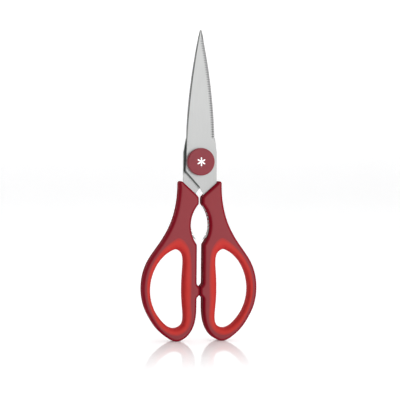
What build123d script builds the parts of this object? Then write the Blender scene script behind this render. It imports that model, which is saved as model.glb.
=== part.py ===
from build123d import *
import math
import os

os.makedirs("parts", exist_ok=True)

# All-purpose poultry and kitchen shears, standing upright on their two finger loops.
# +X is to the right, +Y is away from the viewer, +Z is up. The origin is on the floor between
# the loops, so the pivot axis is parallel to Y and passes through X = 0.
# Millimetres throughout. One half is drawn; turning it half a turn about Z gives the other.

# ---------------------------------------------------------------- overall sizes
overall_length = 210.0
pivot_height = 121.3
half_width = 39.4
handle_thickness = 12.0

# ---------------------------------------------------------------- blades
blade_thickness = 1.95
blade_gap = 0.10
tip_half_width = 0.7
edge_mid_half_width = 7.1
edge_heel_half_width = 10.15
rear_edge_heel_half_width = 9.4
spine_mid_half_width = 6.25
spine_heel_half_width = 9.4
ricasso_half_width = 11.4
rear_ricasso_half_width = 11.1
spine_foot_half_width = 10.2
heel_above_pivot = 15.8
ricasso_above_pivot = 6.2
spine_foot_below_pivot = 6.6
crotch_below_pivot = 17.9
tip_thickness_share = 0.8
grind_above_pivot = 12.5
bevel_width = 1.4
edge_land = 0.25
tooth_pitch = 1.6
tooth_depth = 0.38
tooth_tip_margin = 7.0

# ---------------------------------------------------------------- tang and gripping jaws
tang_foot = 70.6
tang_seat = 3.4
tang_width = 9.0
jaw_bottom = 68.6
jaw_top = 91.0
jaw_tip_half_width = 5.9
jaw_end_half_width = 2.0
jaw_tooth_pitch = 2.6
jaw_tooth_depth = 0.9
anchor_radius = 1.7
anchor_inset = 5.0
anchor_heights = (96.5, 78.0)

# ---------------------------------------------------------------- handles
horn_height = 109.9
horn_half_width = 14.6
horn_radius = 1.3
neck_top = 99.3
neck_top_half_width = 2.8
neck_half_width = 1.1
neck_bottom = 92.8
neck_round_start = 2.0
waist_half_width = 19.7
waist_height = 78.6
eye_half_width = 6.5
eye_bottom = 65.4
limb_half_gap = 2.2
limb_width = 8.8
belly_height = 36.4
loop_foot_centre = 15.5
outer_rim = 5.6
stop_height = 34.0
stop_contact = 4.8
stop_foot = 9.5
stop_half_gap = 0.03
handle_edge_radius = 1.2
corner_radius = 0.9

# ---------------------------------------------------------------- finger holes and soft lining
hole_bottom = 8.8
hole_length = 53.1
lining_inner = 5.2
lining_outer = 2.9
lining_top = 7.8
lining_bottom = 4.6
lining_round = 2.5
bond_gap = 0.02

# ---------------------------------------------------------------- pivot
shank_radius = 3.0
shank_flat = 2.4
key_gap = 0.02
running_gap = 0.03
seat_gap = 0.02
screw_head_radius = 6.0
screw_head_thickness = 1.3
thread_radius = 2.5
thread_pitch = 0.8
thread_depth = 0.3
thread_end = 0.3
bush_wall = 1.0
bush_flange_radius = 6.0
bush_flange_thickness = 0.5
blade_washer_radius = 6.5
blade_washer_thickness = 0.3
rear_washer_radius = 5.6
rear_washer_thickness = 0.5
spring_washer_radius = 5.4
spring_washer_rise = 0.5
spring_washer_thickness = 0.4
washer_bore_gap = 0.15
nut_radius = 5.5
nut_thickness = 1.3
nut_slot_width = 1.2
nut_slot_depth = 0.6
cap_radius = 9.25
cap_roof = 2.5
cap_edge_radius = 0.7
cap_head_gap = 0.05
emblem_radius = 2.9
emblem_line = 0.8
emblem_sunk = 0.25
emblem_proud = 0.05
emblem_arms = 6

# ---------------------------------------------------------------- places worked out from the sizes
half_thickness = handle_thickness / 2
hole_inner = limb_half_gap + limb_width
hole_outer = half_width - outer_rim
hole_top = hole_bottom + hole_length
blade_inner = blade_gap / 2
blade_outer = blade_inner + blade_thickness
heel_height = pivot_height + heel_above_pivot
ricasso_height = pivot_height + ricasso_above_pivot
spine_foot_height = pivot_height - spine_foot_below_pivot
crotch_height = pivot_height - crotch_below_pivot
grind_height = pivot_height + grind_above_pivot
blade_length = overall_length - heel_height
jaw_middle = (jaw_top + jaw_bottom) / 2
bush_bore = shank_radius + running_gap
bush_radius = bush_bore + bush_wall
head_back = -blade_outer - seat_gap
head_front = head_back - screw_head_thickness
cap_back = -blade_outer - seat_gap
cap_front = head_front - cap_head_gap - cap_roof
washer_back = blade_inner - seat_gap
washer_front = washer_back - blade_washer_thickness
flange_front = blade_outer + seat_gap
flange_back = flange_front + bush_flange_thickness
rear_washer_front = flange_back + seat_gap
rear_washer_back = rear_washer_front + rear_washer_thickness
spring_front = rear_washer_back + seat_gap
spring_back = spring_front + spring_washer_rise + spring_washer_thickness
nut_front = spring_back + seat_gap
nut_back = nut_front + nut_thickness
pivot_axis = Plane(origin=(0, 0, pivot_height), x_dir=(1, 0, 0), z_dir=(0, 1, 0))
far = 4 * half_width


def slab(face, near, far_side):
    """Solid of an outline drawn in X and Z, between two values of Y."""
    plane = Plane(origin=(0, far_side, 0), x_dir=(1, 0, 0), z_dir=(0, -1, 0))
    return extrude(plane * face, amount=far_side - near)


def pivot_disc(radius, near, far_side):
    """Round solid about the pivot axis, between two values of Y."""
    plane = pivot_axis.offset(near)
    return extrude(plane * Circle(radius), amount=far_side - near)


def outline(*edges):
    """Face inside a closed run of edges."""
    return make_face(Wire(edges))


def half_turn(shape):
    """The matching shape of the other half."""
    return Rot(0, 0, 180) * shape


# ================================================================ blade
def blade_face(heel_half_width, cheek_half_width):
    """Outline of one blade with its cheek, from the tip down to the handle's neck."""
    tip_right = (tip_half_width, overall_length - tip_half_width)
    tip_left = (-tip_half_width, overall_length - tip_half_width)
    heel = (heel_half_width, heel_height)
    edge_middle = (edge_mid_half_width, heel_height + blade_length / 2)
    spine_top = (-spine_heel_half_width, heel_height)
    spine_middle = (-spine_mid_half_width, heel_height + blade_length / 2)
    foot = (-spine_foot_half_width, spine_foot_height)
    neck_wall = (neck_top_half_width, neck_top)
    return outline(
        ThreePointArc(tip_left, (0, overall_length), tip_right),
        ThreePointArc(tip_right, edge_middle, heel),
        Line(heel, (cheek_half_width, ricasso_height)),
        Line((cheek_half_width, ricasso_height), (cheek_half_width, neck_top)),
        Line((cheek_half_width, neck_top), neck_wall),
        Line(neck_wall, (0, crotch_height)),
        Line((0, crotch_height), foot),
        Line(foot, spine_top),
        ThreePointArc(spine_top, spine_middle, tip_left),
    )


def jaw_arc_x(height):
    """Half-width of the toothed jaw edge at one height: a shallow circular bow."""
    sagitta = jaw_tip_half_width - jaw_end_half_width
    half_chord = (jaw_top - jaw_bottom) / 2
    radius = (half_chord ** 2 + sagitta ** 2) / (2 * sagitta)
    rise = math.sqrt(radius ** 2 - (height - jaw_middle) ** 2)
    return jaw_tip_half_width - radius + rise


def tang_face():
    """Outline of the tang inside the handle, with the toothed jaw on its inner edge."""
    outer_top = (rear_ricasso_half_width, neck_top + tang_seat)
    inner_top = (neck_top_half_width, neck_top + tang_seat)
    jaw_upper = (jaw_end_half_width, jaw_top)
    jaw_peak = (jaw_tip_half_width, jaw_middle)
    jaw_lower = (jaw_end_half_width, jaw_bottom)
    foot_inner = (jaw_end_half_width + tang_seat, tang_foot)
    foot_outer = (jaw_end_half_width + tang_width, tang_foot + tang_seat)
    side = (jaw_tip_half_width + tang_width, jaw_middle + tang_seat)
    return outline(
        Line(outer_top, inner_top),
        Line(inner_top, jaw_upper),
        ThreePointArc(jaw_upper, jaw_peak, jaw_lower),
        Line(jaw_lower, foot_inner),
        Line(foot_inner, foot_outer),
        Line(foot_outer, side),
        Line(side, outer_top),
    )


def jaw_notches():
    """Coarse V teeth along the jaw edge."""
    count = int((jaw_top - jaw_bottom - jaw_tooth_pitch) / jaw_tooth_pitch)
    first = jaw_middle - (count - 1) / 2 * jaw_tooth_pitch
    half_pitch = jaw_tooth_pitch / 2
    notches = []
    for index in range(count):
        height = first + index * jaw_tooth_pitch
        edge = jaw_arc_x(height)
        below = (jaw_arc_x(height - half_pitch) - jaw_tooth_depth, height - half_pitch)
        above = (jaw_arc_x(height + half_pitch) - jaw_tooth_depth, height + half_pitch)
        root = (edge + jaw_tooth_depth, height)
        notch = Polyline(below, root, above, close=True)
        notches.append(slab(make_face(notch), -far, far))
    return notches


def edge_arc(heel_half_width):
    """Cutting edge of a blade: an arc through the tip, the middle and the heel."""
    return ThreePointArc(
        (tip_half_width, overall_length - tip_half_width),
        (edge_mid_half_width, heel_height + blade_length / 2),
        (heel_half_width, heel_height),
    )


def edge_x(height):
    """Half-width of the front blade's cutting edge at one height."""
    arc = edge_arc(edge_heel_half_width)
    centre = arc.arc_center
    return centre.X + math.sqrt(arc.radius ** 2 - (height - centre.Y) ** 2)


def saw_notches():
    """Fine V teeth along the front blade's cutting edge."""
    count = int((blade_length - tooth_tip_margin) / tooth_pitch)
    notches = []
    for index in range(count):
        height = heel_height + (index + 0.5) * tooth_pitch
        edge = edge_x(height)
        mouth = tooth_pitch / 4
        root = (edge - tooth_depth, height)
        below = (edge + tooth_depth, height - mouth * 2)
        above = (edge + tooth_depth, height + mouth * 2)
        notch = Polyline(below, root, above, close=True)
        notches.append(slab(make_face(notch), -far, far))
    return notches


def grind_cut():
    """Wedge taken off the outer face, so that the blade thins towards its tip."""
    tip_outer = blade_inner + blade_thickness * tip_thickness_share
    rise = overall_length - grind_height
    slope = (blade_outer - tip_outer) / rise
    top = overall_length + rise
    points = [
        (-blade_outer, grind_height),
        (-blade_outer + slope * (top - grind_height), top),
        (-blade_outer - blade_thickness, top),
        (-blade_outer - blade_thickness, grind_height),
    ]
    face = Plane.YZ.offset(-far) * make_face(Polyline(*points, close=True))
    return extrude(face, amount=2 * far)


def bevel_cut(heel_half_width):
    """Sloping cut along the cutting edge: a cone round the edge's own circle."""
    arc = edge_arc(heel_half_width)
    centre = arc.arc_center
    radius = arc.radius
    land_y = -blade_inner - edge_land
    slope = (blade_thickness * tip_thickness_share - edge_land) / bevel_width
    reach = 3 * bevel_width
    profile = Polyline(
        (radius, land_y),
        (radius - reach, land_y - slope * reach),
        (radius + reach, land_y - slope * reach),
        (radius + reach, land_y),
        close=True,
    )
    ring_plane = Plane(origin=(centre.X, 0, centre.Y), x_dir=(1, 0, 0), z_dir=(0, 0, 1))
    ring = revolve(ring_plane * make_face(profile), axis=Axis((centre.X, 0, centre.Y), (0, 1, 0)))
    keep_low = heel_height
    keep_high = overall_length + bevel_width
    window = slab(
        make_face(Polyline((0, keep_low), (far, keep_low), (far, keep_high), (0, keep_high), close=True)),
        -far,
        far,
    )
    return ring & window


def make_blade(serrated, heel_half_width, cheek_half_width):
    """One half, drawn with its handle on the right: blade, cheek, tang and jaw in one piece."""
    body = slab(blade_face(heel_half_width, cheek_half_width), -blade_outer, -blade_inner)
    body -= grind_cut()
    body -= bevel_cut(heel_half_width)
    tang = slab(tang_face(), -blade_outer, -blade_inner)
    for notch in jaw_notches():
        tang -= notch
    body += tang
    if serrated:
        for notch in saw_notches():
            body -= notch
    for height in anchor_heights:
        middle = (jaw_arc_x(height) if height < jaw_top else jaw_end_half_width) + anchor_inset
        hole = Plane(origin=(middle, -far, height), x_dir=(1, 0, 0), z_dir=(0, 1, 0))
        body -= extrude(hole * Circle(anchor_radius), amount=2 * far)
    return body


def make_front_blade():
    """Serrated blade with a keyed hole for the screw and a recess for the friction washer."""
    body = make_blade(True, edge_heel_half_width, ricasso_half_width)
    body -= keyed_shank(key_gap, -far, far)
    return body - pivot_disc(blade_washer_radius + seat_gap, washer_front - seat_gap, far)


def make_rear_blade():
    """Plain blade with a round bore for the pivot bush."""
    body = half_turn(make_blade(False, rear_edge_heel_half_width, rear_ricasso_half_width))
    return body - pivot_disc(bush_radius + seat_gap, -far, far)


# ================================================================ handle
def rounded(face, corners, radius):
    """Outline with the named corners rounded in its own plane."""
    chosen = []
    for corner in corners:
        chosen.append(face.vertices().sort_by_distance((corner[0], corner[1], 0))[0])
    return fillet(chosen, radius=radius)


def handle_face():
    """Outer outline of one hard handle shell, without its finger hole."""
    horn = (horn_half_width, horn_height)
    horn_foot = (horn_half_width, horn_height - 3 * horn_radius)
    neck_shoulder = (neck_top_half_width, neck_top)
    neck_upper = (neck_half_width, neck_top - neck_round_start)
    neck_lower = (neck_half_width, neck_bottom)
    eye_peak = (eye_half_width, (eye_bottom + neck_bottom) / 2)
    eye_lower = (limb_half_gap, eye_bottom)
    stop_top = (limb_half_gap, stop_height + stop_foot / 2)
    stop_upper = (stop_half_gap, stop_height + stop_contact / 2)
    stop_lower = (stop_half_gap, stop_height - stop_contact / 2)
    stop_base = (limb_half_gap, stop_height - stop_foot / 2)
    limb_foot = (limb_half_gap, stop_height - stop_foot)
    foot = (loop_foot_centre, 0)
    back = Spline(
        horn_foot,
        (waist_half_width, waist_height),
        (half_width * 0.70, belly_height * 1.786),
        (half_width * 0.90, belly_height * 1.46),
        (half_width, belly_height),
        (half_width * 0.930, belly_height * 0.591),
        (half_width * 0.845, belly_height * 0.412),
        (half_width * 0.765, belly_height * 0.280),
        (half_width * 0.683, belly_height * 0.181),
        (half_width * 0.578, belly_height * 0.085),
        (half_width * 0.474, belly_height * 0.018),
        foot,
        tangents=[(0, -1), (-1, 0)],
        tangent_scalars=[1, 1],
    )
    front = Spline(
        foot,
        (loop_foot_centre * 0.806, belly_height * 0.021),
        (loop_foot_centre * 0.54, belly_height * 0.0975),
        (limb_half_gap + limb_width * 0.22, belly_height * 0.283),
        limb_foot,
        tangents=[(-1, 0), (0, 1)],
        tangent_scalars=[1, 1],
    )
    face = outline(
        Line(neck_shoulder, horn),
        Line(horn, horn_foot),
        back,
        front,
        Line(limb_foot, stop_base),
        Line(stop_base, stop_lower),
        Line(stop_lower, stop_upper),
        Line(stop_upper, stop_top),
        Line(stop_top, eye_lower),
        ThreePointArc(eye_lower, eye_peak, neck_lower),
        Line(neck_lower, neck_upper),
        Line(neck_upper, neck_shoulder),
    )
    face = rounded(face, [horn], horn_radius)
    small = [neck_shoulder, neck_upper, neck_lower, eye_lower, stop_top, stop_upper, stop_lower, stop_base]
    return rounded(face, small, corner_radius)


def closed_curve(left, right, bottom, top, shares):
    """Smooth closed outline through points given as shares of a box's width and height."""
    points = []
    for across, up in shares:
        points.append((left + across * (right - left), bottom + up * (top - bottom)))
    return make_face(Wire([Spline(*points, periodic=True)]))


def hole_face():
    """Outline of a finger hole: a tall, slightly kidney-shaped oval."""
    shares = (
        (0.29, 1.0),
        (0.71, 0.862),
        (0.908, 0.708),
        (1.0, 0.508),
        (0.92, 0.290),
        (0.635, 0.092),
        (0.26, 0.0),
        (0.041, 0.045),
        (-0.013, 0.15),
        (0.017, 0.30),
        (0.038, 0.47),
        (0.02, 0.70),
        (0.0, 0.86),
        (0.06, 0.958),
    )
    return closed_curve(hole_inner, hole_outer, hole_bottom, hole_top, shares)


def lining_face(gap):
    """Outer outline of the soft lining, drawn in by a gap where it meets the shell."""
    shares = (
        (0.337, 1.0),
        (0.641, 0.889),
        (0.919, 0.688),
        (1.0, 0.498),
        (0.835, 0.189),
        (0.634, 0.062),
        (0.337, 0.0),
        (0.084, 0.065),
        (0.004, 0.17),
        (0.013, 0.30),
        (0.013, 0.482),
        (0.023, 0.787),
        (0.113, 0.933),
    )
    left = hole_inner - lining_inner + gap
    right = hole_outer + lining_outer - gap
    bottom = hole_bottom - lining_bottom + gap
    top = hole_top + lining_top - gap
    return closed_curve(left, right, bottom, top, shares)


def make_shell(blade):
    """Hard handle shell, moulded round the tang and open where the soft lining sits."""
    shell = slab(handle_face(), -half_thickness, half_thickness)
    rims = shell.faces().sort_by(Axis.Y)
    shell = fillet(rims[0].edges() + rims[-1].edges(), radius=handle_edge_radius)
    shell -= slab(lining_face(0), -far, far)
    return shell - blade


def make_lining():
    """Soft lining of the finger hole, flush with the shell and rounded into the hole."""
    ring = slab(lining_face(bond_gap), -half_thickness, half_thickness)
    ring -= slab(hole_face(), -far, far)
    rims = ring.faces().filter_by(Axis.Y)
    edges = []
    for rim in rims:
        edges += rim.inner_wires()[0].edges()
    return fillet(edges, radius=lining_round)


# ================================================================ pivot
def pivot_ring(bore, radius, near, far_side):
    """Flat ring about the pivot axis."""
    return pivot_disc(radius, near, far_side) - pivot_disc(bore, near, far_side)


def pivot_turned(points):
    """Solid turned about the pivot axis from points given as (distance from the axis, Y)."""
    places = []
    for reach, depth in points:
        places.append((reach, depth, pivot_height))
    profile = make_face(Polyline(*places, close=True))
    return revolve(profile, axis=Axis((0, 0, pivot_height), (0, 1, 0)))


def keyed_shank(gap, near, far_side):
    """Shank with two flats, grown by a gap."""
    width = 2 * (shank_radius + gap)
    height = 2 * (shank_flat + gap)
    flats = slab(Pos(0, pivot_height) * Rectangle(width, height), near, far_side)
    return pivot_disc(shank_radius + gap, near, far_side) & flats


def make_screw():
    """Shouldered pivot screw: flat head, keyed shank, round journal and threaded end."""
    screw = pivot_disc(screw_head_radius, head_front, head_back)
    screw += keyed_shank(0, head_back, washer_front)
    screw += pivot_disc(shank_radius, washer_front - seat_gap, flange_back)
    screw += pivot_disc(thread_radius, flange_back, nut_back + thread_end)
    turns = int((nut_back + thread_end - rear_washer_front) / thread_pitch)
    for turn in range(turns):
        root = rear_washer_front + (turn + 0.5) * thread_pitch
        groove = [
            (thread_radius + thread_depth, root - thread_depth),
            (thread_radius - thread_depth, root),
            (thread_radius + thread_depth, root + thread_depth),
        ]
        screw -= pivot_turned(groove)
    return screw


def make_bush():
    """Flanged plain bush, pressed into the rear blade and turning on the screw's journal."""
    bush = pivot_disc(bush_radius, blade_inner, flange_back)
    bush += pivot_disc(bush_flange_radius, flange_front, flange_back)
    return bush - pivot_disc(bush_bore, -far, far)


def make_spring_washer():
    """Conical spring washer that keeps the blades pressed together."""
    bore = thread_radius + washer_bore_gap
    profile = [
        (bore, spring_front + spring_washer_rise),
        (spring_washer_radius, spring_front),
        (spring_washer_radius, spring_front + spring_washer_thickness),
        (bore, spring_back),
    ]
    return pivot_turned(profile)


def make_nut():
    """Round lock nut with two spanner slots across its back."""
    nut = pivot_ring(thread_radius + seat_gap, nut_radius, nut_front, nut_back)
    slot = Pos(0, pivot_height) * Rectangle(2 * far, nut_slot_width)
    return nut - slab(slot, nut_back - nut_slot_depth, far)


def make_emblem():
    """Plain star of crossed bars let into the cap: a decoration that carries no name."""
    star = Sketch()
    for arm in range(emblem_arms // 2):
        bar = Rectangle(2 * emblem_radius, emblem_line)
        star += Rot(0, 0, 90 + arm * 360 / emblem_arms) * bar
    return slab(Pos(0, pivot_height) * star, cap_front - emblem_proud, cap_front + emblem_sunk)


def make_cap(emblem):
    """Round plastic cap that snaps over the screw's head."""
    cap = pivot_disc(cap_radius, cap_front, cap_back)
    front_rim = cap.faces().sort_by(Axis.Y)[0].edges()
    cap = fillet(front_rim, radius=cap_edge_radius)
    cap -= pivot_disc(screw_head_radius + cap_head_gap, head_front - cap_head_gap, far)
    return cap - emblem


# ================================================================ assembly
front_blade = make_front_blade()
rear_blade = make_rear_blade()
grip_lining = make_lining()
cap_emblem = make_emblem()
washer_bore = shank_radius + washer_bore_gap
nodes = {
    "front_blade": front_blade,
    "rear_blade": rear_blade,
    "right_handle_shell": make_shell(front_blade),
    "left_handle_shell": half_turn(make_shell(half_turn(rear_blade))),
    "right_grip_lining": grip_lining,
    "left_grip_lining": half_turn(grip_lining),
    "pivot_screw": make_screw(),
    "pivot_bush": make_bush(),
    "blade_washer": pivot_ring(washer_bore, blade_washer_radius, washer_front, washer_back),
    "rear_washer": pivot_ring(
        thread_radius + washer_bore_gap, rear_washer_radius, rear_washer_front, rear_washer_back
    ),
    "spring_washer": make_spring_washer(),
    "pivot_nut": make_nut(),
    "pivot_cap": make_cap(cap_emblem),
    "cap_emblem": cap_emblem,
}
for name, solid in nodes.items():
    export_step(solid, f"parts/{name}.step")
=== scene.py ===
import math
import bpy
import numpy as np
from mathutils import Matrix, Vector
from mathutils.geometry import delaunay_2d_cdt


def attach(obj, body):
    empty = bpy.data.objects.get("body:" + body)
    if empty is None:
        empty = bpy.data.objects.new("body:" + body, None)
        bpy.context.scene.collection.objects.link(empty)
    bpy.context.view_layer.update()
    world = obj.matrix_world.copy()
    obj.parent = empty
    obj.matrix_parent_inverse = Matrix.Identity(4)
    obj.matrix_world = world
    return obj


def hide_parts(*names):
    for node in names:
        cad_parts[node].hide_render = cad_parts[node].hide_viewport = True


# Poultry shears standing on their finger loops: hard crimson shells, soft red linings,
# two steel blades and a capped pivot. X is to the right, Y away from the viewer, Z up, in metres.

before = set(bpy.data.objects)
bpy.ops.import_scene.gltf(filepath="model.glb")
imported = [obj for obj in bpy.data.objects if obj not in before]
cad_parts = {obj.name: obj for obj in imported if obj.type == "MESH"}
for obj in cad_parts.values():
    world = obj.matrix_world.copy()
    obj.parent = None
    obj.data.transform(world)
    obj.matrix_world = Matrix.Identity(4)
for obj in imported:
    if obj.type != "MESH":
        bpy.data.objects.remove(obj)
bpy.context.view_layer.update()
print("stage: frame loaded")

mm = 0.001
pivotHeight = 121.3


# Material helpers
class Signal:
    # a number that varies over a surface; arithmetic on it adds the matching node
    def __init__(self, paint, socket):
        self.paint = paint
        self.socket = socket

    def __add__(self, other):
        return self.paint.maths("ADD", self, other)

    def __sub__(self, other):
        return self.paint.maths("SUBTRACT", self, other)

    def __mul__(self, other):
        return self.paint.maths("MULTIPLY", self, other)

    def __truediv__(self, other):
        return self.paint.maths("DIVIDE", self, other)

    def __pow__(self, other):
        return self.paint.maths("POWER", self, other)

    def __rsub__(self, other):
        return self.paint.maths("SUBTRACT", other, self)

    def size(self):
        return self.paint.maths("ABSOLUTE", self)

    def root(self):
        return self.paint.maths("SQRT", self)

    def sine(self):
        return self.paint.maths("SINE", self)

    def rise(self, low, high):
        # 0 below low, 1 above high, smooth between
        made = self.paint.node(
            "ShaderNodeMapRange",
            {"interpolation_type": "SMOOTHSTEP"},
            {"Value": self, "From Min": low, "From Max": high},
        )
        return Signal(self.paint, made.outputs["Result"])

    __radd__ = __add__
    __rmul__ = __mul__


class Paint:
    # the nodes of one material, or of the world, being built
    def __init__(self, owner, shaderName, fixed):
        owner.use_nodes = True
        self.owner = owner
        self.tree = owner.node_tree
        self.shader = self.tree.nodes[shaderName]
        for socket, value in fixed.items():
            self.shader.inputs[socket].default_value = value

    def node(self, kind, settings=None, inputs=None):
        made = self.tree.nodes.new(kind)
        for key, value in (settings or {}).items():
            setattr(made, key, value)
        for key, value in (inputs or {}).items():
            self.feed(made.inputs[key], value)
        return made

    def feed(self, socket, value):
        if isinstance(value, Signal):
            self.tree.links.new(value.socket, socket)
        else:
            socket.default_value = value

    def maths(self, kind, first, second=None):
        made = self.node("ShaderNodeMath", {"operation": kind}, {0: first})
        if second is not None:
            self.feed(made.inputs[1], second)
        return Signal(self, made.outputs[0])

    def place(self):
        # the three coordinates of the point, in millimetres
        point = self.node("ShaderNodeTexCoord").outputs["Object"]
        split = self.node("ShaderNodeSeparateXYZ", None, {0: Signal(self, point)})
        return [Signal(self, split.outputs[axis]) * 1000.0 for axis in range(3)]

    def facing(self):
        # the surface's own normal, in the piece's frame
        normal = self.node("ShaderNodeTexCoord").outputs["Normal"]
        split = self.node("ShaderNodeSeparateXYZ", None, {0: Signal(self, normal)})
        return [Signal(self, split.outputs[axis]) for axis in range(3)]

    def point(self, x, y, z):
        made = self.node("ShaderNodeCombineXYZ", None, {0: x, 1: y, 2: z})
        return Signal(self, made.outputs[0])

    def noise(self, vector, scale, detail=2.0, roughness=0.5):
        made = self.node(
            "ShaderNodeTexNoise",
            {"noise_dimensions": "3D"},
            {"Vector": vector, "Scale": scale, "Detail": detail, "Roughness": roughness},
        )
        return Signal(self, made.outputs[0])

    def stored(self, name):
        made = self.node("ShaderNodeAttribute", {"attribute_name": name})
        return Signal(self, made.outputs["Fac"])

    def blend(self, share, first, second):
        made = self.node("ShaderNodeMix", {"data_type": "RGBA"}, {0: share, 6: first, 7: second})
        return Signal(self, made.outputs[2])

    def bump(self, height, strength, distance):
        made = self.node(
            "ShaderNodeBump", None, {"Height": height, "Strength": strength, "Distance": distance}
        )
        return Signal(self, made.outputs[0])

    def wear(self, socket, value):
        self.feed(self.shader.inputs[socket], value)


def newPaint(name, fixed):
    return Paint(bpy.data.materials.new(name), "Principled BSDF", fixed)


def tone(red, green, blue):
    return (red, green, blue, 1.0)


# Shape helpers
def gridFaces(rows, columns, closedRows=False, closedColumns=False):
    # quads between neighbouring points of a rows x columns grid
    row, column = np.meshgrid(
        np.arange(rows if closedRows else rows - 1),
        np.arange(columns if closedColumns else columns - 1),
        indexing="ij",
    )
    nextRow, nextColumn = (row + 1) % rows, (column + 1) % columns
    corners = [
        row * columns + column,
        row * columns + nextColumn,
        nextRow * columns + nextColumn,
        nextRow * columns + column,
    ]
    return np.stack(corners, axis=-1).reshape(-1, 4)


def makePiece(name, points, faces, paint, sharpAngle=40.0):
    # points in millimetres, faces as rows of point numbers
    mesh = bpy.data.meshes.new(name)
    mesh.from_pydata((points * mm).tolist(), [], [list(face) for face in faces])
    mesh.validate()
    mesh.shade_smooth()
    mesh.set_sharp_from_angle(angle=math.radians(sharpAngle))
    mesh.materials.append(paint.owner)
    made = bpy.data.objects.new(name, mesh)
    bpy.context.scene.collection.objects.link(made)
    return made


def store(piece, name, values):
    attribute = piece.data.attributes.new(name, "FLOAT", "POINT")
    attribute.data.foreach_set("value", values.astype(np.float32))


def halfTurn(points):
    # the same points turned half a turn about the Z axis
    return points * np.array([-1.0, -1.0, 1.0])


def firstSlope(points):
    # slope at the first point of the cubic through the first four, by distance along them
    spans = np.linalg.norm(np.diff(points[:4], axis=0), axis=1)
    return np.polyfit(np.append(0, np.cumsum(spans)), points[:4], 3)[2]


def smoothCurve(points, slopes=None, steps=24):
    # Cubic through the points, with u running from 0 to 1 along each span of length h:
    # p = (2u^3-3u^2+1)*a + (u^3-2u^2+u)*h*m + (3u^2-2u^3)*b + (u^3-u^2)*h*n,
    # where the inner slopes m and n make the second derivative continuous.
    # The curve is closed when no end slopes are given.
    points = np.array(points, dtype=float)
    if slopes is None:
        points = np.vstack([points, points[:1]])
        ends = np.array([firstSlope(points)] * 2)
    else:
        ends = np.array(slopes, dtype=float)
    spans = np.linalg.norm(np.diff(points, axis=0), axis=1)
    rates = np.diff(points, axis=0) / spans[:, None]
    count = len(points)
    matrix = np.eye(count)
    right = np.zeros((count, 2))
    right[[0, -1]] = ends
    inner = np.arange(1, count - 1)
    matrix[inner, inner - 1] = spans[1:]
    matrix[inner, inner] = 2 * (spans[:-1] + spans[1:])
    matrix[inner, inner + 1] = spans[:-1]
    right[1:-1] = 3 * (spans[1:, None] * rates[:-1] + spans[:-1, None] * rates[1:])
    slope = np.linalg.solve(matrix, right)
    u = (np.arange(steps) / steps)[None, :, None]
    a, b = points[:-1, None], points[1:, None]
    m, n, h = slope[:-1, None], slope[1:, None], spans[:, None, None]
    curve = (2 * u**3 - 3 * u**2 + 1) * a + (u**3 - 2 * u**2 + u) * h * m
    curve = curve + (3 * u**2 - 2 * u**3) * b + (u**3 - u**2) * h * n
    curve = curve.reshape(-1, 2)
    return curve if slopes is None else np.vstack([curve, points[-1:]])


def circleOf(first, middle, last):
    # circle through three points: its centre c solves |c-p1| = |c-p2| = |c-p3|
    first, middle, last = np.array(first), np.array(middle), np.array(last)
    rows = 2 * np.array([middle - first, last - first])
    squares = np.array([middle @ middle - first @ first, last @ last - first @ first])
    centre = np.linalg.solve(rows, squares)
    return centre, float(np.linalg.norm(first - centre))


def arcThrough(first, middle, last, steps=40):
    centre, radius = circleOf(first, middle, last)
    turn = np.unwrap([math.atan2(*(np.array(p) - centre)[::-1]) for p in (first, middle, last)])
    angle = np.linspace(turn[0], turn[2], steps)
    return centre + radius * np.stack([np.cos(angle), np.sin(angle)], axis=1)


def roundCorner(before, corner, after, radius, steps=12):
    # arc of the given radius that touches both lines of a corner
    corner = np.array(corner)
    first, second = (np.array(p) - corner for p in (before, after))
    first, second = first / np.linalg.norm(first), second / np.linalg.norm(second)
    half = math.acos(first @ second) / 2
    reach = radius / math.tan(half)
    middle = (first + second) / np.linalg.norm(first + second)
    nearest = corner + middle * (radius / math.sin(half) - radius)
    return arcThrough(corner + first * reach, nearest, corner + second * reach, steps)


def evenly(loop, gap):
    # the closed loop again, with points an even distance apart
    closed = np.vstack([loop, loop[:1]])
    along = np.concatenate([[0], np.cumsum(np.linalg.norm(np.diff(closed, axis=0), axis=1))])
    count = int(along[-1] / gap)
    wanted = np.arange(count) * along[-1] / count
    return np.stack([np.interp(wanted, along, closed[:, axis]) for axis in range(2)], axis=1)


def softened(loop, gap, reach):
    # corners rounded by a Gaussian mean along an even closed loop:
    # each harmonic k is multiplied by exp(-(k*reach)^2/2)
    wave = np.fft.fftfreq(len(loop), gap) * 2 * math.pi
    spectrum = np.fft.fft(loop, axis=0) * np.exp(-((wave * reach) ** 2) / 2)[:, None]
    return np.fft.ifft(spectrum, axis=0).real


def outwardOf(loop):
    # unit normals of an anticlockwise closed loop, pointing out
    along = np.roll(loop, -1, axis=0) - np.roll(loop, 1, axis=0)
    along /= np.linalg.norm(along, axis=1)[:, None]
    return np.stack([along[:, 1], -along[:, 0]], axis=1)


def anticlockwise(loop):
    ahead = np.roll(loop, -1, axis=0)
    area = np.sum(loop[:, 0] * ahead[:, 1] - ahead[:, 0] * loop[:, 1])
    return loop if area > 0 else loop[::-1]


def distanceTo(loop, points):
    # shortest distance from each point to the closed loop's segments
    ahead = np.roll(loop, -1, axis=0) - loop
    best = np.full(len(points), np.inf)
    for start in range(0, len(points), 500):
        part = points[start : start + 500, None]
        share = np.sum((part - loop) * ahead, axis=2) / np.sum(ahead**2, axis=1)
        foot = loop + np.clip(share, 0, 1)[..., None] * ahead
        best[start : start + 500] = np.linalg.norm(part - foot, axis=2).min(axis=1)
    return best


def fromShares(box, shares):
    # points given as shares of a box (left, right, bottom, top)
    shares = np.array(shares)
    low, high = np.array([box[0], box[2]]), np.array([box[1], box[3]])
    return low + shares * (high - low)


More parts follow.
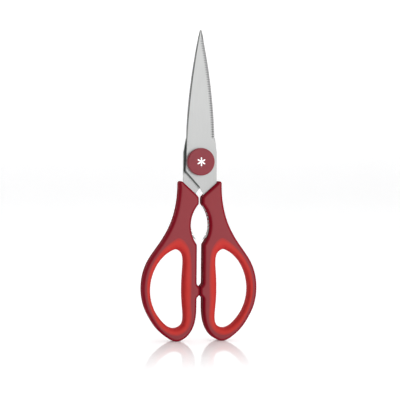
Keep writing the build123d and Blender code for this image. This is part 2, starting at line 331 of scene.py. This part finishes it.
def byAngle(loop, centre, count):
    # the closed loop read at even angles about a point inside it
    angle = np.unwrap(np.arctan2(*(loop - centre).T[::-1]))
    reach = np.linalg.norm(loop - centre, axis=1)
    wanted = np.arange(count) * 2 * math.pi / count + angle[0]
    angle, reach = np.append(angle, angle[0] + 2 * math.pi), np.append(reach, reach[0])
    found = np.interp(wanted, angle, reach)
    return centre + found[:, None] * np.stack([np.cos(wanted), np.sin(wanted)], axis=1)


# Finger hole outlines
hole = {
    "inner": 11.0,  # side next to the other handle
    "outer": 33.8,
    "bottom": 8.8,
    "top": 61.9,
    "liningInner": 5.2,  # width of the soft lining on each side
    "liningOuter": 2.9,
    "liningTop": 7.8,
    "liningBottom": 4.6,
}
holeBox = (hole["inner"], hole["outer"], hole["bottom"], hole["top"])
liningBox = (
    hole["inner"] - hole["liningInner"],
    hole["outer"] + hole["liningOuter"],
    hole["bottom"] - hole["liningBottom"],
    hole["top"] + hole["liningTop"],
)
holeShares = [
    (0.29, 1.0), (0.71, 0.862), (0.908, 0.708), (1.0, 0.508), (0.92, 0.290), (0.635, 0.092),
    (0.26, 0.0), (0.041, 0.045), (-0.013, 0.15), (0.017, 0.30), (0.038, 0.47), (0.02, 0.70),
    (0.0, 0.86), (0.06, 0.958),
]
liningShares = [
    (0.337, 1.0), (0.641, 0.889), (0.919, 0.688), (1.0, 0.498), (0.835, 0.189), (0.634, 0.062),
    (0.337, 0.0), (0.084, 0.065), (0.004, 0.17), (0.013, 0.30), (0.013, 0.482), (0.023, 0.787),
    (0.113, 0.933),
]
holeCentre = np.array([20.5, 35.5])
holeLoop = byAngle(anticlockwise(smoothCurve(fromShares(holeBox, holeShares))), holeCentre, 480)
liningLoop = byAngle(anticlockwise(smoothCurve(fromShares(liningBox, liningShares))), holeCentre, 480)

# Handle shells
shell = {
    "halfWidth": 39.4,  # widest reach of a loop from the middle of the object
    "bellyHeight": 36.4,  # height of that widest place
    "footCentre": 15.5,
    "waist": (19.7, 78.6),
    "horn": (14.6, 109.9),
    "hornFoot": 106.0,
    "hornRound": 1.3,
    "shoulder": (2.8, 99.3),
    "neckUpper": (1.1, 97.3),
    "neckLower": (1.1, 92.8),
    "eyePeak": (6.5, 79.1),
    "eyeLower": 65.4,
    "limbGap": 2.2,  # from the middle of the object to the straight inner limb
    "limbWidth": 8.8,
    "limbFoot": 24.5,
    "stopGap": 0.03,  # from the middle to the bump that stops the handles
    "stopHeights": (29.25, 31.6, 36.4, 38.75),
    "halfThickness": 6.0,
    "edgeRound": 2.6,  # radius of the rounded edges
    "cornerSoftness": 0.55,
    "pointGap": 0.3,
    "partingDepth": 0.06,  # groove left where the two halves of the mould met
    "partingWidth": 0.35,
    "face": tone(0.31, 0.062, 0.070),  # sanded flat faces, lighter and greyer with painted sheen
    "wall": tone(0.25, 0.006, 0.018),  # smooth rounded edges and walls
    "patch": tone(0.33, 0.05, 0.06),  # faint uneven patches
    "roughness": 0.5,
    "ior": 1.04,  # low, for a dull face with hardly any reflection
    "grain": 0.35,  # strength of the moulded grain
    "grainDepth": 0.00006,
}


def shellOutline():
    # outer outline of the right-hand shell, point by point round from its shoulder
    width, belly, centre = shell["halfWidth"], shell["bellyHeight"], shell["footCentre"]
    gap, foot = shell["limbGap"], (centre, 0.0)
    hornFoot = (shell["horn"][0], shell["hornFoot"])
    backShares = [
        (0.70, 1.786), (0.90, 1.46), (1.0, 1.0), (0.930, 0.591), (0.845, 0.412), (0.765, 0.280),
        (0.683, 0.181), (0.578, 0.085), (0.474, 0.018),
    ]
    backPoints = [(width * across, belly * up) for across, up in backShares]
    back = smoothCurve([hornFoot, shell["waist"]] + backPoints + [foot], slopes=[(0, -1), (-1, 0)])
    frontPoints = [(centre * 0.806, belly * 0.021), (centre * 0.54, belly * 0.0975)]
    frontPoints.append((gap + shell["limbWidth"] * 0.22, belly * 0.283))
    limbFoot = (gap, shell["limbFoot"])
    front = smoothCurve([foot] + frontPoints + [limbFoot], slopes=[(-1, 0), (0, 1)])
    reaches = (gap, shell["stopGap"], shell["stopGap"], gap)
    stop = np.array(list(zip(reaches, shell["stopHeights"])))
    eye = arcThrough((gap, shell["eyeLower"]), shell["eyePeak"], shell["neckLower"])
    neck = np.array([shell["neckUpper"], shell["shoulder"]])
    horn = roundCorner(shell["shoulder"], shell["horn"], hornFoot, shell["hornRound"])
    return anticlockwise(np.vstack([horn, back, front[1:], stop, eye, neck]))


def shellShape():
    # Plan points on rings at distance d inside the outline, and depth from the rounded edge:
    # y = halfThickness - r + sqrt(r^2 - (r-d)^2) for d below r, halfThickness beyond.
    gap = shell["pointGap"]
    outline = softened(evenly(shellOutline(), gap), gap, shell["cornerSoftness"])
    inward = -outwardOf(outline)
    r = shell["edgeRound"]
    rings = [outline]
    for angle in np.radians([18, 36, 54, 72, 90]):  # steps round the edge
        depth = r * (1 - math.cos(angle))
        ring = (outline + depth * inward)[:: 1 if angle < 1 else 2]
        rings.append(ring[distanceTo(outline, ring) > depth - 0.01])
    plan = np.vstack(rings + [liningLoop])
    rim, seat = len(outline), len(liningLoop)
    total = len(plan)
    rimEdges = [(i, (i + 1) % rim) for i in range(rim)]
    seatEdges = [(total - seat + i, total - seat + (i + 1) % seat) for i in range(seat)]
    cut = delaunay_2d_cdt([Vector(p) for p in plan.tolist()], rimEdges + seatEdges, [], 0, 1e-5)
    points, triangles = np.array([tuple(p) for p in cut[0]]), np.array([list(t) for t in cut[2]])
    middle = points[triangles].mean(axis=1)
    # keeps the triangles inside the outline and outside the lining seat
    angle = np.arctan2(*(middle - holeCentre).T[::-1])
    loopAngle = np.arctan2(*(liningLoop - holeCentre).T[::-1])
    order = np.argsort(loopAngle)
    reach = np.linalg.norm(liningLoop - holeCentre, axis=1)[order]
    limit = np.interp(angle, loopAngle[order], reach, period=2 * math.pi)
    outside = np.linalg.norm(middle - holeCentre, axis=1) > limit * 0.9995
    triangles = triangles[outside & insideOf(outline, middle)]
    reach = np.minimum(distanceTo(outline, points), r)
    depth = shell["halfThickness"] - r + np.sqrt(np.maximum(r**2 - (r - reach) ** 2, 0))
    return points, triangles, depth, outline


def insideOf(loop, points):
    # True where a ray to the right crosses the closed loop an odd number of times
    ahead = np.roll(loop, -1, axis=0)
    across, up = points[:, None, 0], points[:, None, 1]
    spans = (loop[:, 1] > up) != (ahead[:, 1] > up)
    rise = np.where(ahead[:, 1] == loop[:, 1], 1e-9, ahead[:, 1] - loop[:, 1])
    crossing = (ahead[:, 0] - loop[:, 0]) * (up - loop[:, 1]) / rise + loop[:, 0]
    return np.sum(spans & (across < crossing), axis=1) % 2 == 1


def openEdges(triangles):
    # directed edges that only one triangle has
    edges = np.vstack([triangles[:, [0, 1]], triangles[:, [1, 2]], triangles[:, [2, 0]]])
    size = triangles.max() + 1
    code = edges[:, 0] * size + edges[:, 1]
    mirrored = edges[:, 1] * size + edges[:, 0]
    return edges[~np.isin(code, mirrored)]


def solidShell():
    plan, triangles, depth, outline = shellShape()
    # the plan is drawn in X and Z, so an anticlockwise triangle faces the viewer at -Y
    a, b, c = (plan[triangles[:, corner]] for corner in range(3))
    turned = (b - a)[:, 0] * (c - a)[:, 1] - (b - a)[:, 1] * (c - a)[:, 0] < 0
    triangles[turned] = triangles[turned][:, ::-1]
    front = np.stack([plan[:, 0], -depth, plan[:, 1]], axis=1)
    back = front * np.array([1, -1, 1])
    count = len(plan)
    edges = openEdges(triangles)
    atRim = distanceTo(outline, plan) < 0.01
    rimEdges = edges[atRim[edges[:, 0]]]
    seatEdges = edges[~atRim[edges[:, 0]]]
    # the wall between the faces, with a shallow parting groove at its middle
    used = np.unique(rimEdges)
    number = np.full(count, -1)
    number[used] = np.arange(len(used))
    lineOf = np.stack([plan[used, 0], np.zeros(len(used)), plan[used, 1]], axis=1)
    nearest = np.argmin(np.linalg.norm(plan[used][:, None] - outline, axis=2), axis=1)
    inward = -outwardOf(outline)[nearest]
    levels = np.array([-1.0, 0.0, 1.0]) * shell["partingWidth"] / 2
    sunk = np.array([0.0, shell["partingDepth"], 0.0])
    bands = []
    for level, deep in zip(levels, sunk):
        shift = [inward[:, 0] * deep, np.full(len(used), level), inward[:, 1] * deep]
        bands.append(lineOf + np.stack(shift, axis=1))
    points = np.vstack([front, back] + bands)
    faces = [triangles, triangles[:, ::-1] + count]
    rows = [rimEdges, 2 * count + number[rimEdges]]
    rows += [rows[1] + len(used), rows[1] + 2 * len(used), rimEdges + count]
    quads = [np.hstack([near[:, ::-1], far]) for near, far in zip(rows[:-1], rows[1:])]
    quads.append(np.hstack([seatEdges[:, ::-1], seatEdges + count]))
    return points, np.vstack(faces).tolist() + np.vstack(quads).tolist()


def hardPlastic():
    paint = newPaint("handlePlastic", {"IOR": shell["ior"]})
    x, y, z = paint.place()
    spot = paint.point(x, y, z)
    grain = paint.noise(spot, 2.6, 3.0, 0.6)
    cloud = paint.noise(spot, 0.05, 2.0)
    rub = paint.noise(paint.point(x, y, z * 0.15), 0.9, 2.0)
    # flat faces take the face tone with its painted sheen, rounded edges and walls the plain colour
    flat = paint.facing()[1].size().rise(0.8, 0.995)
    base = paint.blend(flat, shell["wall"], shell["face"])
    base = paint.blend(cloud.rise(0.3, 0.7) * 0.2, base, shell["patch"])
    paint.wear("Base Color", base)
    paint.wear("Roughness", shell["roughness"] + (rub - 0.5) * 0.08 + (grain - 0.5) * 0.06)
    paint.wear("Normal", paint.bump(grain, shell["grain"], shell["grainDepth"]))
    return paint


handlePlastic = hardPlastic()
shellPoints, shellFaces = solidShell()
for side in ("right", "left"):
    points = shellPoints if side == "right" else halfTurn(shellPoints)
    piece = makePiece(side + "HandleShell", points, shellFaces, handlePlastic)
    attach(piece, "front_half" if side == "right" else "rear_half")
    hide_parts(side + "_handle_shell")
print("stage: handle shells", len(shellPoints))

# Soft linings
lining = {
    "halfThickness": 5.98,
    "fullness": 3.0,  # 2 gives an elliptical edge, more a flatter one
    "colour": tone(0.60, 0.054, 0.046),
    "holeShadeColour": tone(0.52, 0.032, 0.034),  # painted shade towards the hole
    "patch": tone(0.52, 0.036, 0.022),  # faint uneven patches
    "roughness": 0.5,
    "ior": 1.06,
    "grain": 0.3,
    "grainDepth": 0.00005,
}


def liningShape():
    # Ring swept from the front edge over the hole side to the back edge. With t from -90 to 90 degrees,
    # the point lies 1 - |cos t|^(2/n) of the way from hole to seat, at y = halfThickness * |sin t|^(2/n).
    steps = 33
    t = np.linspace(-math.pi / 2, math.pi / 2, steps)
    power = 2 / lining["fullness"]
    share = 1 - np.cos(t).clip(0, 1) ** power
    depth = lining["halfThickness"] * np.sign(t) * np.abs(np.sin(t)) ** power
    across = holeLoop[None] + share[:, None, None] * (liningLoop - holeLoop)[None]
    depths = np.broadcast_to(depth[:, None], across.shape[:2])
    rings = np.stack([across[..., 0], depths, across[..., 1]], axis=-1)
    count = rings.shape[1]
    faces = gridFaces(steps, count, closedRows=True, closedColumns=True)
    shares = np.repeat(share, count)
    return rings.reshape(-1, 3), faces, shares


def softRubber():
    paint = newPaint("softLining", {"IOR": lining["ior"]})
    x, y, z = paint.place()
    spot = paint.point(x, y, z)
    share = paint.stored("widthShare")
    cloud = paint.noise(spot, 0.06, 2.0)
    grain = paint.noise(spot, 3.5, 2.0, 0.6)
    edge = (share + (grain - 0.5) * 0.12).rise(0.62, 1.02)
    # darker towards the hole: painted shade where the ring turns into it
    body = paint.blend((1.0 - share).rise(0.35, 1.0), lining["colour"], lining["holeShadeColour"])
    # towards the seat the lining fades into the shell's face tone, with its painted sheen
    body = paint.blend(edge * 0.6, body, shell["face"])
    body = paint.blend(cloud.rise(0.35, 0.75) * 0.25, body, lining["patch"])
    paint.wear("Base Color", body)
    paint.wear("Roughness", lining["roughness"] + (grain - 0.5) * 0.12)
    paint.wear("Normal", paint.bump(grain, lining["grain"], lining["grainDepth"]))
    return paint


gripSoft = softRubber()
liningPoints, liningFaces, widthShares = liningShape()
for side in ("right", "left"):
    points = liningPoints if side == "right" else halfTurn(liningPoints)
    piece = makePiece(side + "GripLining", points, liningFaces, gripSoft, 60.0)
    store(piece, "widthShare", widthShares)
    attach(piece, "front_half" if side == "right" else "rear_half")
    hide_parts(side + "_grip_lining")
print("stage: soft linings")

# Blades
blades = {
    "dark": tone(0.35, 0.353, 0.35),  # range of the brushed face
    "light": tone(0.44, 0.443, 0.44),
    "strip": tone(0.20, 0.203, 0.205),  # range of the sharpened strip; the dark end is also painted shade in the saw notches
    "stripLight": tone(0.95, 0.95, 0.95),
    "notch": tone(0.13, 0.133, 0.135),  # painted shade at the ends of the saw notches on the face and along the top of the bevel
    "jaw": tone(0.32, 0.315, 0.31),  # painted shade on the foot edge, along the spine and on the hidden flat beside the pivot
    "shade": tone(0.07, 0.078, 0.074),  # blackened chamfer and hidden flats
    "roughness": 0.36,
    "bevelWidth": 1.4,
    "toothPitch": 1.6,
    "length": 210.0,  # height of the tip
    "tipCorner": (0.7, 209.3),
    "heelHeight": 137.1,  # lower end of the cutting edge
    "edgeMiddle": 7.1,
    "edgeHeel": 10.15,
    "rearEdgeHeel": 9.4,
    "spineMiddle": 6.25,
    "spineHeel": 9.4,
    "spineFoot": (10.2, 114.7),
    "crotchHeight": 103.4,
    "toothEnds": (202.0, 205.0),  # heights over which the saw teeth fade out
    "jawTop": (94.0, 97.0),
    "footEdge": (114.5, 115.5),
    "shadeLow": (112.0, 115.5),  # limits of the painted shade on the flat beside the pivot
    "shadeHigh": (136.0, 150.0),
    "shadeSide": (8.4, 9.0),
}


def inside(x, z, circle):
    # how far the point lies inside the circle: radius - sqrt((x-cx)^2 + (z-cz)^2)
    centre, radius = circle
    return radius - ((x - float(centre[0])) ** 2.0 + (z - float(centre[1])) ** 2.0).root()


def bladeSteel(name, side):
    # side is 1 for the front blade and -1 for the rear one, which is the same shape turned half a turn
    paint = newPaint(name, {"Metallic": 1.0})
    x, y, z = paint.place()
    x = x * side
    tipReach, tipHeight = blades["tipCorner"]
    heelHeight = blades["heelHeight"]
    middle = (heelHeight + blades["length"]) / 2
    edgeHeel = blades["edgeHeel"] if side > 0 else blades["rearEdgeHeel"]
    edgeArc = circleOf((tipReach, tipHeight), (blades["edgeMiddle"], middle), (edgeHeel, heelHeight))
    spineHeel = blades["spineHeel"]
    spineArc = circleOf((-tipReach, tipHeight), (-blades["spineMiddle"], middle), (-spineHeel, heelHeight))
    fromEdge = inside(x, z, edgeArc)
    fromSpine = inside(x, z, spineArc)
    footReach, footHeight = blades["spineFoot"]
    fromHeel = x + footReach - (z - footHeight) * ((footReach - spineHeel) / (heelHeight - footHeight))
    width, pitch = blades["bevelWidth"], blades["toothPitch"]
    along = z.rise(heelHeight - 0.2, heelHeight + 0.2) * (1.0 - z.rise(*blades["toothEnds"]))
    strip = (1.0 - fromEdge.rise(width - 0.1, width + 0.15)) * along
    # saw teeth: painted shade in a notch at every pitch that runs a little way over the top of the bevel,
    # and fainter painted shade along the bevel's top
    tick = ((z - heelHeight - pitch / 2) * (2 * math.pi / pitch)).sine().rise(-0.5, 0.5)
    core = 1.0 - fromEdge.rise(width + 0.3, width + 0.6)
    comb = 1.0 - fromEdge.rise(width + 0.9, width + 1.6)
    serrated = 1.0 if side > 0 else 0.0
    notch = (tick * comb * 0.8 + core * 0.3) * along * serrated
    tick = tick * fromEdge.rise(0.2, 0.5)
    lines = paint.noise(paint.point(x * 4.0, y * 4.0, z * 0.06), 1.0, 4.0, 0.6)
    ground = paint.noise(paint.point(x * 0.15, y, z * 5.0), 1.0, 3.0, 0.6)
    cloud = paint.noise(paint.point(x, y, z * 0.4), 0.09, 2.0)
    shade = (lines - 0.5) * 0.35 + (cloud - 0.5) * 0.2
    plain = paint.blend((shade + 0.5).rise(0.2, 0.8), blades["dark"], blades["light"])
    if side > 0:
        # slanting foot of the blade: distance above the line from the crotch to the spine's foot, for a
        # band of painted shade along that edge
        crotch = blades["crotchHeight"]
        slant = footHeight - crotch
        aboveFoot = ((z - crotch) * footReach + x * slant) / math.hypot(footReach, slant)
        paintedShade = (1.0 - aboveFoot.rise(0.35, 0.85)) * (1.0 - x.rise(-0.6, 0.4))
    else:
        # painted shade on the flat beside the pivot, recessed behind the other blade
        paintedShade = z.rise(*blades["shadeLow"]) * (1.0 - z.rise(*blades["shadeHigh"]))
        paintedShade = paintedShade * x.rise(*blades["shadeSide"])
        paintedShade = paintedShade * (0.0 - paint.facing()[1]).rise(0.5, 0.9)
    plain = paint.blend(paintedShade, plain, blades["shade"])
    # painted shade along the spine and the slanting heel edge
    above = z.rise(heelHeight - 1.1, heelHeight + 0.9)
    spine = fromSpine * above + fromHeel * (1.0 - above)
    spineShade = (1.0 - spine.rise(0.3, 0.6)) * z.rise(*blades["footEdge"])
    plain = paint.blend(spineShade * 0.8, plain, blades["shade"])
    plain = paint.blend(1.0 - z.rise(*blades["jawTop"]), plain, blades["jaw"])
    # painted shade in the saw notches on the face
    plain = paint.blend(notch * 0.9, plain, blades["notch"])
    # the strip's steel, with painted shade in its notches
    worked = paint.blend(ground * 0.3 + tick * 0.7, blades["stripLight"], blades["strip"])
    paint.wear("Base Color", paint.blend(strip, plain, worked))
    paint.wear("Roughness", blades["roughness"] + (lines - 0.5) * 0.1 + strip * 0.05)
    paint.wear("Normal", paint.bump(lines + ground * strip, 0.25, 0.00004))
    return paint


for node, side in (("front_blade", 1.0), ("rear_blade", -1.0)):
    steel = bladeSteel(node.replace("_b", "B") + "Steel", side)
    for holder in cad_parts[node].material_slots:
        holder.material = steel.owner
print("stage: blades")

# Pivot parts
pivot = {
    "turnedSteel": tone(0.55, 0.56, 0.57),
    "springSteel": tone(0.30, 0.30, 0.32),
    "bearing": tone(0.80, 0.79, 0.74),
    "cap": tone(0.24, 0.018, 0.03),
    "emblem": tone(0.86, 0.86, 0.86),
    "plasticIor": 1.47,
    "markDepth": 0.00004,  # depth of turning marks and of the moulded grain
}


def turnedMetal(name, colour, roughness):
    paint = newPaint(name, {"Metallic": 1.0})
    x, y, z = paint.place()
    reach = (x ** 2.0 + (z - pivotHeight) ** 2.0).root()
    rings = paint.noise(paint.point(reach * 6.0, y * 2.0, 0.0), 1.0, 3.0)
    cloud = paint.noise(paint.point(x, y, z), 0.4, 3.0)
    darker = tuple(0.7 * part for part in colour[:3]) + (1.0,)
    paint.wear("Base Color", paint.blend(rings * 0.5 + cloud * 0.3, colour, darker))
    paint.wear("Roughness", roughness + (cloud - 0.5) * 0.15)
    paint.wear("Normal", paint.bump(rings, 0.3, pivot["markDepth"]))
    return paint


def smoothPlastic(name, colour, roughness):
    paint = newPaint(name, {"IOR": pivot["plasticIor"]})
    x, y, z = paint.place()
    spot = paint.point(x, y, z)
    grain = paint.noise(spot, 3.0, 3.0, 0.6)
    cloud = paint.noise(spot, 0.15, 2.0)
    lighter = tuple(min(1.0, 1.15 * part) for part in colour[:3]) + (1.0,)
    paint.wear("Base Color", paint.blend(cloud.rise(0.3, 0.7) * 0.5, colour, lighter))
    paint.wear("Roughness", roughness + (grain - 0.5) * 0.1)
    paint.wear("Normal", paint.bump(grain, 0.2, pivot["markDepth"]))
    return paint


pivotPaints = {
    "pivot_screw": turnedMetal("screwSteel", pivot["turnedSteel"], 0.3),
    "pivot_nut": turnedMetal("nutSteel", pivot["turnedSteel"], 0.34),
    "rear_washer": turnedMetal("washerSteel", pivot["turnedSteel"], 0.36),
    "spring_washer": turnedMetal("springSteel", pivot["springSteel"], 0.4),
    "pivot_bush": smoothPlastic("bushPlastic", pivot["bearing"], 0.4),
    "blade_washer": smoothPlastic("washerPlastic", pivot["bearing"], 0.42),
    "pivot_cap": smoothPlastic("capPlastic", pivot["cap"], 0.4),
    "cap_emblem": turnedMetal("emblemMetal", pivot["emblem"], 0.2),
}
for node, paint in pivotPaints.items():
    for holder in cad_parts[node].material_slots:
        holder.material = paint.owner
print("stage: pivot parts")

# Floor, light and camera
studio = {
    "floor": tone(0.92, 0.92, 0.92),
    "floorPatch": tone(0.90, 0.90, 0.90),
    "floorGlow": 0.3,
    "wallGlow": 0.6,
    "glowHeights": (2.0, 400.0),
    "halfSpan": 4000.0,  # size of the floor and of the wall that it curves up into
    "bendStart": 1800.0,
    "bendRadius": 700.0,
    "wallTop": 3000.0,
    "gloss": 0.85,  # polish of the floor beneath and in front of the object
    "glossEnd": 165.0,  # distance at which the polish has faded, in millimetres
    "leftSky": tone(0.16, 0.16, 0.17),
    "rightSky": tone(0.6, 0.6, 0.6),
    "lightTarget": (0.0, 0.0, 0.1),
    "keyPlace": (0.7, -2.1, 1.0),
    "keyWidth": 2.2,
    "keyPower": 24.0,
    "topPlace": (0.1, 0.2, 1.6),
    "topWidth": 1.2,
    "topPower": 6.0,
}

floorFixed = {"Roughness": 0.6, "IOR": 1.45, "Specular IOR Level": 0.0, "Coat Roughness": 0.07}
floorPaint = newPaint("floorWhite", floorFixed | {"Emission Strength": 1.0})
across, away, height = floorPaint.place()
mottle = floorPaint.noise(floorPaint.point(across, away, height), 0.02, 2.0)
glow = height.rise(*studio["glowHeights"]) * (studio["wallGlow"] - studio["floorGlow"])
glow = glow + studio["floorGlow"]
floorPaint.wear("Base Color", floorPaint.blend(mottle, studio["floor"], studio["floorPatch"]))
floorPaint.wear("Emission Color", floorPaint.blend(glow, tone(0.0, 0.0, 0.0), tone(1.0, 1.0, 1.0)))
floorPaint.wear("Coat Weight", (1.0 - away.size().rise(0.0, studio["glossEnd"])) * studio["gloss"])

# floor that curves up into a back wall: a profile along Y carried across X
turn = np.linspace(0, math.pi / 2, 17)
span, start, bend = studio["halfSpan"], studio["bendStart"], studio["bendRadius"]
run = np.concatenate([[-span], start + bend * np.sin(turn), [start + bend]])
lift = np.concatenate([[0.0], bend - bend * np.cos(turn), [studio["wallTop"]]])
sweep = np.stack([np.tile(run, 2), np.tile(lift, 2)], axis=1)
backdropPoints = np.column_stack([np.repeat([-span, span], len(run)), sweep])
backdrop = makePiece("floor", backdropPoints, gridFaces(2, len(run))[:, ::-1], floorPaint, 60.0)


def softLight(name):
    # square lamp above the object, out of the camera's sight
    lamp = bpy.data.lights.new(name + "Light", "AREA")
    lamp.shape = "SQUARE"
    lamp.size = studio[name + "Width"]
    lamp.energy = studio[name + "Power"]
    made = bpy.data.objects.new(name + "Light", lamp)
    made.location = studio[name + "Place"]
    aim = Vector(studio["lightTarget"]) - made.location
    made.rotation_euler = aim.to_track_quat("-Z", "Y").to_euler()
    bpy.context.scene.collection.objects.link(made)
    made.visible_camera = False


softLight("key")
softLight("top")

world = bpy.data.worlds.new("studio")
bpy.context.scene.world = world
sky = Paint(world, "Background", {"Strength": 1.0})
direction = sky.node("ShaderNodeTexCoord").outputs["Generated"]
sideways = Signal(sky, sky.node("ShaderNodeSeparateXYZ", None, {0: Signal(sky, direction)}).outputs[0])
sky.wear("Color", sky.blend(sideways.rise(-0.7, 0.5), studio["leftSky"], studio["rightSky"]))

view = {
    "turn": -12.0,  # degrees to the side of straight on
    "tilt": 2.0,
    "roll": 0.45,
    "away": 1.014,
    "target": (0.00045, 0.0, 0.0954),
    "lens": 135.0,
}
camera = bpy.data.objects.new("camera", bpy.data.cameras.new("camera"))
bpy.context.scene.collection.objects.link(camera)
camera.data.lens = view["lens"]
camera.data.sensor_width = 36.0
turn, tilt = math.radians(view["turn"]), math.radians(view["tilt"])
back = Vector((math.sin(turn) * math.cos(tilt), -math.cos(turn) * math.cos(tilt), math.sin(tilt)))
camera.location = Vector(view["target"]) + back * view["away"]
aim = (-back).to_track_quat("-Z", "Y").to_matrix()
camera.rotation_euler = (aim @ Matrix.Rotation(math.radians(view["roll"]), 3, "Z")).to_euler()
bpy.context.scene.camera = camera
bpy.context.scene.view_settings.view_transform = "Standard"
print("stage: studio")
